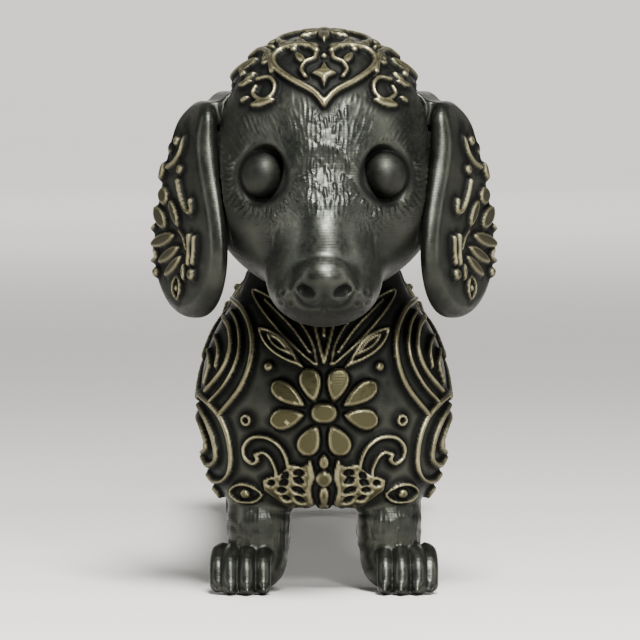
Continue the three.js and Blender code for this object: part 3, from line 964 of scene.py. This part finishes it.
def trunk_place(middle):
    """Takes degrees round the trunk, 90 being its left, and millimetres along it to a point on it."""

    def place(angle, along):
        across, up = math.sin(math.radians(angle)), math.cos(math.radians(angle))
        stretch = (abs(across) ** SQUARENESS + abs(up) ** SQUARENESS) ** (-1 / SQUARENESS)
        x, z = across * stretch * TRUNK_HALF_WIDTH, SPINE_Z + up * stretch * TRUNK_HALF_HEIGHT
        return np.array([x, middle + along, z])

    return place


def hem(relief, along, bulge, first=0, last=180):
    """A raised edge round the trunk, which bulges along it at its sides."""
    for angle in range(first, last, HEM_STEP):
        turns = (angle, angle + HEM_STEP)
        relief.line([(turn, along + bulge * math.sin(math.radians(turn))) for turn in turns], 0.5, 0.6)


def link_ornament(relief, variant):
    """The band of leaves, rings and curls round one link."""
    hem(relief, -2.3, 0.5)
    hem(relief, 2.3, -0.5)
    if variant:
        relief.leaf((-9, 0), (9, 0), 2.4, 0.75, outline=0.45)
        relief.disc((0, 0), 0.5, 0.7)
    else:
        relief.leaf((0, -1.6), (0, 1.6), 1.5, 0.75)
        relief.leaf((2, 0), (12, 0), 1.6, 0.75)
    relief.disc((22, 0), 0.75, 0.7, hole=0.3)
    middle = 46 if variant else 40
    relief.leaf((middle - 13, 0), (middle + 13, 0), 2.2, 0.75, outline=0.4)
    relief.leaf((middle - 7, 0), (middle + 7, 0), 0.8, 0.6)
    relief.disc((middle + 20, 0), 0.5, 0.7)
    flower = 90
    for petal in range(6):
        turn = math.pi / 3 * petal
        base = (flower + 3.0 * math.cos(turn), 0.62 * math.sin(turn))
        tip = (flower + 8.2 * math.cos(turn), 1.6 * math.sin(turn))
        relief.leaf(base, tip, 0.95, 0.7, fat=0.62, blunt=0.5)
    relief.disc((flower, 0), 0.42, 0.75)
    relief.disc((flower - 14, 0), 0.4, 0.7)
    relief.disc((flower + 14, 0), 0.4, 0.7)
    middle = 130
    relief.leaf((middle - 11, 0), (middle + 11, 0), 2.0, 0.7, outline=0.4)
    relief.leaf((middle - 5, 0), (middle + 5, 0), 0.7, 0.6)
    relief.disc((152, 0), 0.6, 0.65, hole=0.25)
    relief.leaf((160, 0), (174, 0), 1.4, 0.65)


def spine_links():
    """All the spine links, from one solid with a band of either of two patterns."""
    middle = CHEST_REAR + PITCH / 2
    solid = Solid((-12.8, CHEST_REAR - 3.4, 9), (12.8, CHEST_REAR + PITCH + 3.4, 34), FINE)
    solid.add(trunk(CHEST_REAR + 0.1, CHEST_REAR + PITCH - 0.1))
    ring(solid, CHEST_REAR, SPINE_Z, SPINE_HINGE, 0.8)
    fork(solid, CHEST_REAR + PITCH, SPINE_Z, SPINE_HINGE, 0.8)
    points, quads = solid.skin()
    normals = vertex_normals(points, quads)
    flat = (np.abs(points[:, 0]) / TRUNK_HALF_WIDTH) ** SQUARENESS
    flat = flat + (np.abs(points[:, 2] - SPINE_Z) / TRUNK_HALF_HEIGHT) ** SQUARENESS
    skin = smoothstep(0.85, 0.92, flat) * smoothstep(0.75, 0.3, np.abs(normals[:, 1]))
    for number in range(1, SPINE_LINKS + 1):
        relief = Relief(mirrored(points), trunk_place(middle))
        link_ornament(relief, number % 2)
        relief.keep(skin)
        skin_points, marks = raised(points, quads, relief)
        tuck = waist(CHEST_REAR + (number - 0.5) * PITCH)
        share = smoothstep(5, 9, np.hypot(points[:, 0], points[:, 2] - SPINE_Z))
        slim_x = 1 - share * tuck / TRUNK_HALF_WIDTH
        slim_z = 1 - share * tuck / TRUNK_HALF_HEIGHT
        moved = np.stack([
            skin_points[:, 0] * slim_x,
            skin_points[:, 1] + (number - 1) * PITCH,
            SPINE_Z + (skin_points[:, 2] - SPINE_Z) * slim_z,
        ], 1)
        name = f"spine_link_{number}"
        stand(name + "_skin", name, moved, quads, marks)


# ---- legs ----


FORELEG_X = 7.0
PAW_X = 8.0
THIGH = HIPS_FRONT + 10.5


def paw(solid, x, heel):
    """A paw with four toes, standing flat."""
    side = math.copysign(1, x)
    solid.add(ellipsoid((x - side * 0.2, heel - 0.9, 2.5), (3.3, 3.4, 2.4)), 1.2)
    for place, back, low in ((-1.55, 0.5, 0.9), (0.2, 0.0, 0.85), (1.95, 0.3, 0.9), (3.25, 1.5, 1.1)):
        toe_x = x + side * place
        knuckle = heel - 4.2 + back
        toe = [
            (toe_x - side * 0.3, heel - 1.4, 4.4),
            (toe_x, knuckle + 0.6, 4.1),
            (toe_x + side * 0.1, knuckle - 0.9, 3.0),
            (toe_x + side * 0.1, knuckle - 1.5, low),
        ]
        solid.add(chain(curve(toe, 4), 0.9), 0.25)
        solid.add(rod((toe_x, knuckle - 2.2, 1.0), (toe_x, knuckle - 2.7, 0.6), 0.4, 0.3), 0.4)


def leg_fur(points):
    """Faint strokes down the legs, and folds across the wrists."""
    x, y, z = points.T
    share = smoothstep(10, 8.5, z) * smoothstep(4.4, 5.4, z)
    folds = 0.02 * np.sin(z * 4.2 + 0.8 * np.sin(x * 1.3)) * smoothstep(9.5, 8, z) * smoothstep(3.8, 4.8, z)
    return dashes(x + 0.6 * y, z, 0.45, 2.0, 0.12) * share + folds


# ---- chest ----

CHEST_DEPTH = 0.75  # from front to back, as a share of its width
CHEST_OUTLINE = curve([
    (8.2, 9.0), (10.6, 10.0), (12.2, 12.0), (13.0, 15.0), (13.3, 18.5), (13.35, 21), (12.9, 24.5),
    (11.9, 27.5), (10.6, 29.8), (9.4, 31.6), (8.7, 33.2), (8.2, 34.9), (7.8, 36.5),
], 6)
CHEST_TOP, CHEST_BOTTOM = 34.9, 9.5


def chest_radius(z):
    """Half the breast's width at a height."""
    return np.interp(z, CHEST_OUTLINE[:, 1], CHEST_OUTLINE[:, 0])


def breast():
    """The round breast: an outline turned about the upright axis and flattened from front to back."""

    def distance(x, y, z):
        out = (np.sqrt(x * x + (y / CHEST_DEPTH) ** 2) - chest_radius(z)) * 0.85
        ends = np.maximum(z - CHEST_TOP, CHEST_BOTTOM - z)
        return -smooth_union(-out, -ends, 0.8)

    return Shape(distance, (-13.5, -10.2, CHEST_BOTTOM), (13.5, 10.2, CHEST_TOP))


def breast_point(a, b):
    """A point on the breast from where it is seen from the front."""
    radius = float(chest_radius(b))
    a = min(a, radius)
    return np.array([a, -CHEST_DEPTH * math.sqrt(max(radius * radius - a * a, 0)), b])


def breast_flower(relief):
    """The flower of eight petals round a disc that is wider than it is tall."""
    petals = [
        ((1.0, 20.75), (1.75, 24.35), 2.35), ((2.0, 20.3), (5.45, 22.7), 2.15),
        ((2.05, 19.45), (5.6, 18.6), 2.35), ((0.75, 18.3), (2.2, 15.1), 2.45),
    ]
    for base, tip, width in petals:
        relief.leaf(base, tip, width, 0.75, fat=0.64, blunt=0.45)
    for x in (-0.3, 0, 0.3):
        relief.disc((x, 19.6), 1.1, 0.85)


def breast_leaves(relief):
    """The fan of leaves over the flower, and the dots beside it."""
    long_leaf = [
        (0.75, 24.7), (1.2, 26.9), (2.6, 29.2), (4.9, 31.2), (7.3, 32.4),
        (6.9, 30.9), (5.0, 28.5), (2.9, 26.4), (0.95, 24.7),
    ]
    relief.line(long_leaf, 0.34, 0.6)
    relief.line([(1.5, 26.0), (3.4, 28.6), (6.2, 31.4)], 0.34, 0.55)
    relief.leaf((2.0, 24.2), (6.95, 28.5), 2.0, 0.6, fat=0.58, outline=0.4)
    relief.leaf((3.1, 25.4), (6.1, 27.9), 0.95, 0.55, fat=0.6, outline=0.3)
    relief.line([(0, 24.9), (0.55, 27.1), (1.15, 29.6), (1.4, 31)], 0.42, 0.6)
    relief.line([(0, 27.7), (0, 31)], 0.42, 0.6)
    relief.disc((5.85, 24.45), 0.5, 0.6)
    relief.disc((8.2, 18.7), 0.68, 0.65, hole=0.3)


def breast_scrolls(relief):
    """The scrolls under the flower, and the drops between them."""
    outer = [
        (3.75, 13.9), (4.1, 15.2), (4.9, 16.3), (6.1, 16.95), (7.5, 16.85), (8.35, 15.9),
        (8.2, 14.7), (7.4, 14.1), (6.9, 14.6), (7.2, 15.1),
    ]
    relief.line(outer, 0.5, 0.75)
    relief.line([(7.0, 15.2), (6.3, 15.3), (5.6, 14.7), (5.1, 13.6), (5.0, 12.6)], 0.42, 0.65)
    relief.leaf((0, 13.6), (0, 15.3), 1.1, 0.7, fat=0.4)
    relief.disc((0, 12.6), 0.88, 0.75)
    relief.leaf((0, 11.8), (0, 9.3), 1.2, 0.65, fat=0.35)
    relief.leaf((0, 10.4), (0, 8.9), 1.7, 0.65, fat=0.6)
    relief.line([(1.5, 14.4), (1.2, 12.9), (1.55, 11.4), (1.2, 9.8)], 0.45, 0.6)


def breast_lace(relief):
    """The pierced wings under the flower."""
    wing = [
        (1.5, 14.3), (2.4, 13.9), (3.5, 14.2), (4.6, 13.1), (5.9, 12.7), (6.5, 12.4),
        (6.3, 11.3), (5.3, 10.6), (4.2, 9.9), (2.9, 9.4), (1.3, 9.2), (1.5, 11.4), (1.25, 12.9),
    ]
    relief.plate(wing, 0.6)
    holes = [
        ((2.0, 13.2), (3.2, 13.3), 0.55), ((2.1, 12.2), (3.2, 12.7), 0.5), ((2.0, 11.2), (3.4, 11.7), 0.5),
        ((2.0, 10.2), (3.1, 10.8), 0.5), ((3.7, 13.3), (4.4, 12.6), 0.5), ((3.7, 12.4), (4.7, 12.0), 0.5),
        ((3.9, 11.5), (4.9, 11.4), 0.45), ((3.5, 10.5), (4.4, 10.8), 0.45), ((5.1, 12.3), (5.9, 12.0), 0.4),
        ((2.2, 9.5), (3.1, 9.9), 0.35),
    ]
    for base, tip, width in holes:
        relief.leaf(base, tip, width * 1.35, 0, cut=True)


def breast_bands(relief):
    """The nested swirls on the sides of the breast."""
    bands = [
        (0.65, [(9.6, 31.2), (8.5, 30.2), (7.7, 28.4), (7.5, 26.4), (7.9, 24.2), (8.9, 21.9), (10.9, 19.3)]),
        (0.45, [(9.7, 30.0), (9.0, 28.6), (8.8, 26.6), (9.2, 24.7), (10.4, 22.4), (12.0, 20.5)]),
        (0.6, [(10.5, 29.3), (9.9, 28.2), (9.8, 26.2), (10.6, 24.0), (12.4, 21.6)]),
        (0.45, [(11.4, 27.4), (11.05, 25.9), (11.3, 24.2)]),
        (0.45, [(12.1, 25.9), (12.0, 24.4), (12.5, 22.4)]),
        (0.65, [
            (13.3, 21.2), (12.2, 20.4), (10.8, 18.8), (9.95, 16.5),
            (9.7, 13.8), (10.3, 12.3), (11.5, 12.0), (12.2, 12.6),
        ]),
        (0.65, [(13.2, 20.0), (12.3, 18.4), (11.5, 16.2), (11.3, 14.3), (12.2, 13.6), (12.8, 14.4)]),
        (0.6, [(13.3, 18.6), (12.7, 17.2), (12.3, 15.6), (12.8, 14.9)]),
    ]
    for width, points in bands:
        relief.line(points, width, 0.7)
    relief.disc((11.2, 10.8), 0.8, 0.7, hole=0.35)


def almonds(relief):
    """The almond-shaped ring over each foreleg, with its dot."""
    relief.leaf((6.5, 10.8), (10.1, 10.8), 2.6, 0.65, outline=0.42, blunt=0.6)
    relief.disc((8.35, 10.8), 0.55, 0.65)


def flank(relief):
    """The swirls and leaves behind the shoulder."""
    swirls = [
        [
            (0.6, 20.6), (2.2, 24.2), (5.2, 26.8), (8.4, 26.2), (9.7, 23.6),
            (8.6, 21.2), (6.6, 21.2), (5.9, 22.8), (7.1, 23.7),
        ],
        [(0.4, 18.6), (3.2, 19.3), (5.5, 17.8), (5.7, 15.2), (4.1, 13.8), (2.6, 14.9), (3.3, 16.3)],
        [(4.9, 12.2), (7.7, 12.9), (9.6, 15.2), (9.5, 18.2), (7.9, 19.0), (7.1, 17.6), (8.0, 16.6)],
    ]
    for swirl in swirls:
        relief.line(swirl, 0.62, 0.7)
    relief.leaf((0.9, 24.4), (2.7, 30.2), 1.5, 0.65, outline=0.38)
    relief.leaf((3.6, 28.2), (8.6, 28.9), 1.7, 0.65, outline=0.38)
    relief.leaf((4.8, 28.4), (7.4, 28.8), 0.6, 0.55)
    relief.leaf((1.3, 21.6), (4.0, 22.4), 1.2, 0.65)
    relief.disc((4.4, 24.4), 0.5, 0.65)
    relief.disc((2.2, 12.4), 0.6, 0.65, hole=0.25)


def withers(relief):
    """The leaves on the back behind the neck, placed from above."""
    relief.leaf((0, 7.6), (0, 10.4), 1.5, 0.6)
    relief.leaf((1.3, 8.0), (4.0, 10.2), 1.3, 0.6)
    relief.leaf((3.9, 7.8), (7.6, 9.6), 1.3, 0.6)
    relief.disc((8.3, 7.8), 0.5, 0.6)


def throat(relief):
    """The painted shade in the notch beside the neck, with the thin edge round it."""
    relief.place = breast_point
    relief.line([(8.1, 35.2), (8.6, 33.4), (9.6, 31.3)], 0.22, 0.15)
    x, y, z = relief.points.T
    beside = smoothstep(0.4, -0.4, x - 8.0 + 0.42 * (z - 35))
    share = smoothstep(30.2, 31, z) * beside * smoothstep(3, 1, y)
    # painted shade in the notch
    relief.near = np.minimum(relief.near, 0.15 + FAR * (1 - share))


def socket(solid):
    """The socket in which the foot of the neck swivels."""
    foot, stem, low, mouth = 5.4 + CLEARANCE, 3.9 + CLEARANCE, 26 - CLEARANCE, 29
    solid.cut(cylinder((0, 0, low), (0, 0, mouth), foot), 0.1)
    solid.cut(cylinder((0, 0, mouth - 1), (0, 0, 40), stem), 0.3)


def chest():
    solid = Solid((-14.6, -11.5, 0), (14.6, CHEST_REAR + 3.6, 35.6), FINE)
    solid.add(breast())
    solid.add(trunk(-3, CHEST_REAR - 0.1, 0.02), 1.0)
    for side in (-1, 1):
        x = side * FORELEG_X
        solid.add(rod((x, -3.4, 4), (x, -3.0, 13), 3.05, 3.5), 1.5)
        solid.add(rod((x, -3.5, 6.4), (x, -3.5, 7.2), 3.2), 1.0)
        paw(solid, side * PAW_X, -3.4)
    socket(solid)
    fork(solid, CHEST_REAR, SPINE_Z, SPINE_HINGE, 0.8)
    solid.cut(below(0))
    points, quads = solid.skin()
    normals = vertex_normals(points, quads)
    relief = Relief(mirrored(points), breast_point)
    breast_flower(relief)
    breast_leaves(relief)
    breast_scrolls(relief)
    breast_lace(relief)
    breast_bands(relief)
    relief.place = seen_along(points[points[:, 2] > 9], 1, -1)
    almonds(relief)
    relief.place = seen_along(points, 0)
    flank(relief)
    relief.place = seen_along(points, 2)
    withers(relief)
    relief.place = trunk_place(0)
    hem(relief, CHEST_REAR - 1.9, -1.2, 24, 150)
    throat(relief)
    round_socket = np.hypot(points[:, 0], points[:, 1]) < 6.2
    above_legs = smoothstep(9.3, 9.8, points[:, 2])
    relief.keep(above_legs * ~round_socket * smoothstep(0.85, 0.5, normals[:, 1]))
    points, marks = raised(points, quads, relief, leg_fur(points))
    points[:, 2] = np.maximum(points[:, 2], 0)
    stand("chest_skin", "chest", points, quads, marks)


# ---- hips and tail ----


def hips_ornament(relief, points):
    """The spiral and leaves on each thigh, the flower on the rump and the edge at the front."""
    relief.place = seen_along(points, 0)
    spiral = [
        (3.8, 8.8), (-1.6, 9.2), (-5.6, 12.2), (-6.8, 17.0), (-4.8, 21.6), (-0.4, 23.2), (3.8, 21.4),
        (5.2, 17.4), (3.4, 13.8), (-0.2, 12.9), (-2.9, 15.2), (-2.4, 18.6), (0.4, 19.4), (1.6, 17.4),
    ]
    relief.line([(THIGH + y, z) for y, z in spiral], 0.7, 0.75)
    relief.leaf((THIGH - 0.9, 15.4), (THIGH + 1.0, 16.4), 1.1, 0.65)
    relief.leaf((THIGH - 7.2, 22.6), (THIGH - 2.6, 27.4), 1.9, 0.65, outline=0.4)
    relief.leaf((THIGH - 6.2, 23.7), (THIGH - 3.7, 26.3), 0.7, 0.6)
    relief.leaf((THIGH - 0.8, 25.0), (THIGH + 3.6, 27.6), 1.8, 0.65, outline=0.4)
    relief.disc((THIGH + 5.6, 23.4), 0.6, 0.65, hole=0.25)
    relief.disc((THIGH - 1.2, 29.0), 0.5, 0.65)
    relief.disc((THIGH - 7.6, 11.0), 0.5, 0.65)
    relief.place = seen_along(points, 2)
    centre = HIPS_FRONT + 7.8
    for petal in range(4):
        turn = math.pi / 4 * (petal + 0.5)
        base = (1.35 * math.sin(turn), centre + 1.35 * math.cos(turn))
        tip = (4.1 * math.sin(turn), centre + 4.1 * math.cos(turn))
        relief.leaf(base, tip, 2.1, 0.7, fat=0.64, blunt=0.45)
    relief.disc((0, centre), 1.0, 0.75)
    curl = [(1.2, 5.6), (3.6, 5.4), (5.9, 3.6), (6.9, 0.6), (6.2, -2.4), (4.6, -3.4), (4.0, -2.2)]
    relief.line([(x, centre + y) for x, y in curl], 0.6, 0.65)
    relief.place = trunk_place(0)
    hem(relief, HIPS_FRONT + 1.7, 1.2)


def hips():
    front = HIPS_FRONT
    solid = Solid((-14.6, front - 3.6, 0), (14.6, TAIL_ROOT + 2.4, 34), FINE)
    solid.add(trunk(front + 0.1, front + 12, 0.02))
    solid.add(ellipsoid((0, front + 8, SPINE_Z), (12.1, 11.5, 11.5)), 2.5)
    solid.add(rod((0, front + 14, TAIL_Z), (0, TAIL_ROOT + 1, TAIL_Z), 5.0, 3.5), 2.0)
    for side in (-1, 1):
        solid.add(ellipsoid((side * PAW_X, THIGH, 16.5), (5.2, 8.2, 8.8)), 1.5)
        solid.add(rod((side * 7.6, THIGH + 3.2, 3.4), (side * 7.8, THIGH + 2.4, 12), 2.8, 4.0), 2.0)
        paw(solid, side * PAW_X, THIGH + 3.6)
    ring(solid, front, SPINE_Z, SPINE_HINGE, 0.8)
    fork(solid, TAIL_ROOT, TAIL_Z, TAIL_HINGE, 0.3)
    solid.cut(below(0))
    points, quads = solid.skin()
    normals = vertex_normals(points, quads)
    relief = Relief(mirrored(points), None)
    hips_ornament(relief, points)
    relief.keep(smoothstep(-0.85, -0.5, normals[:, 1]) * (points[:, 2] > 8))
    points, marks = raised(points, quads, relief, leg_fur(points))
    points[:, 2] = np.maximum(points[:, 2], 0)
    stand("hips_skin", "hips", points, quads, marks)


def tail_radius(y):
    return 3.5 - 0.035 * (y - TAIL_ROOT)


def tail():
    for number in range(1, TAIL_LINKS + 1):
        start = TAIL_ROOT + (number - 1) * TAIL_PITCH
        last = number == TAIL_LINKS
        end = start + (14.6 if last else TAIL_PITCH)
        solid = Solid((-4.2, start - 2.2, TAIL_Z - 4.2), (4.2, end + 2.2, TAIL_Z + 4.2), FINE)
        if last:
            solid.add(rod((0, start, TAIL_Z), (0, end, TAIL_Z), tail_radius(start), 1.1))
        else:
            solid.add(cylinder((0, start, TAIL_Z), (0, end, TAIL_Z), tail_radius(start), 0.5))
            fork(solid, end, TAIL_Z, TAIL_HINGE)
        ring(solid, start, TAIL_Z, TAIL_HINGE)
        points, quads = solid.skin()
        normals = vertex_normals(points, quads)
        middle = (start + end) / 2 if not last else start + 3.4
        relief = Relief(mirrored(points), tail_place(start, middle))
        for angle in (0, 60, 120, 180):
            relief.leaf((angle, -1.9), (angle, 1.9), 1.1, 0.35)
        for angle in (30, 90, 150):
            relief.disc((angle, 0), 0.35, 0.3)
        for angle in range(0, 180, 30):
            relief.line([(angle, -2.35), (angle + 30, -2.35)], 0.3, 0.3)
        relief.keep(smoothstep(0.8, 0.5, np.abs(normals[:, 1])))
        points, marks = raised(points, quads, relief)
        name = f"tail_link_{number}"
        stand(name + "_skin", name, points, quads, marks)


def tail_place(start, middle):
    radius = tail_radius(start) - 0.1

    def place(angle, along):
        turn = math.radians(angle)
        return np.array([radius * math.sin(turn), middle + along, TAIL_Z + radius * math.cos(turn)])

    return place


head()
for side in (1, -1):
    ear(side)
neck()
chest()
spine_links()
hips()
tail()

# ---- stage ----


def emitter(name, place, target, size, power, size_y=None):
    light = bpy.data.lights.new(name, "AREA")
    light.energy = power
    light.size = size
    if size_y:
        light.shape = "RECTANGLE"
        light.size_y = size_y
    lamp = bpy.data.objects.new(name, light)
    lamp.location = place
    lamp.rotation_euler = (Vector(target) - Vector(place)).to_track_quat("-Z", "Y").to_euler()
    bpy.context.scene.collection.objects.link(lamp)


def stage():
    floor = bpy.data.meshes.new("floor")
    wide, front, back, high, round_steps, radius = 4.0, -3.0, 3.0, 2.5, 16, 0.8
    profile = [(front, 0.0)]
    for step in range(round_steps + 1):
        angle = math.pi / 2 * step / round_steps
        profile.append((back - radius + radius * math.sin(angle), radius - radius * math.cos(angle)))
    profile.append((back, high))
    corners = [(side * wide, y, z) for y, z in profile for side in (-1, 1)]
    faces = [(2 * i, 2 * i + 1, 2 * i + 3, 2 * i + 2) for i in range(len(profile) - 1)]
    floor.from_pydata(corners, [], faces)
    floor.shade_smooth()
    n = Nodes("pale_floor")
    colour = n.mix(n.noise(6, 3), (0.66, 0.64, 0.60, 1), (0.72, 0.70, 0.66, 1))
    n.feed(n.shader.inputs["Base Color"], colour)
    n.shader.inputs["Roughness"].default_value = 0.8
    floor.materials.append(n.material)
    piece = bpy.data.objects.new("floor", floor)
    bpy.context.scene.collection.objects.link(piece)


def camera():
    distance, elevation, field = 0.6, math.radians(2.5), 68.1 * MM
    target = Vector((-0.43 * MM, CHEST_Y - 10 * MM, 29.5 * MM))
    data = bpy.data.cameras.new("camera")
    data.lens = data.sensor_width * distance / field
    data.clip_start = 0.01
    eye = bpy.data.objects.new("camera", data)
    eye.location = target + distance * Vector((0, -math.cos(elevation), math.sin(elevation)))
    eye.rotation_euler = (math.pi / 2 - elevation, 0, 0)
    bpy.context.scene.collection.objects.link(eye)
    bpy.context.scene.camera = eye


stage()
camera()
emitter("key", (0.05, CHEST_Y - 0.3, 0.42), (0, CHEST_Y, 0.04), 0.12, 8.5, 0.2)
emitter("front", (0.12, CHEST_Y - 0.5, 0.24), (0, CHEST_Y, 0.03), 0.07, 2.0)
emitter("left_strip", (-0.3, CHEST_Y - 0.1, 0.15), (0, CHEST_Y, 0.04), 0.06, 0.4, 0.3)
emitter("right_strip", (0.3, CHEST_Y - 0.1, 0.15), (0, CHEST_Y, 0.04), 0.06, 0.4, 0.3)
emitter("backdrop", (0, 1.4, 1.6), (0, 3.0, 0.3), 1.6, 60.0)
world = bpy.data.worlds.new("room")
world.use_nodes = True
world.node_tree.nodes["Background"].inputs["Color"].default_value = (0.8, 0.82, 0.85, 1)
world.node_tree.nodes["Background"].inputs["Strength"].default_value = 0.24
bpy.context.scene.world = world
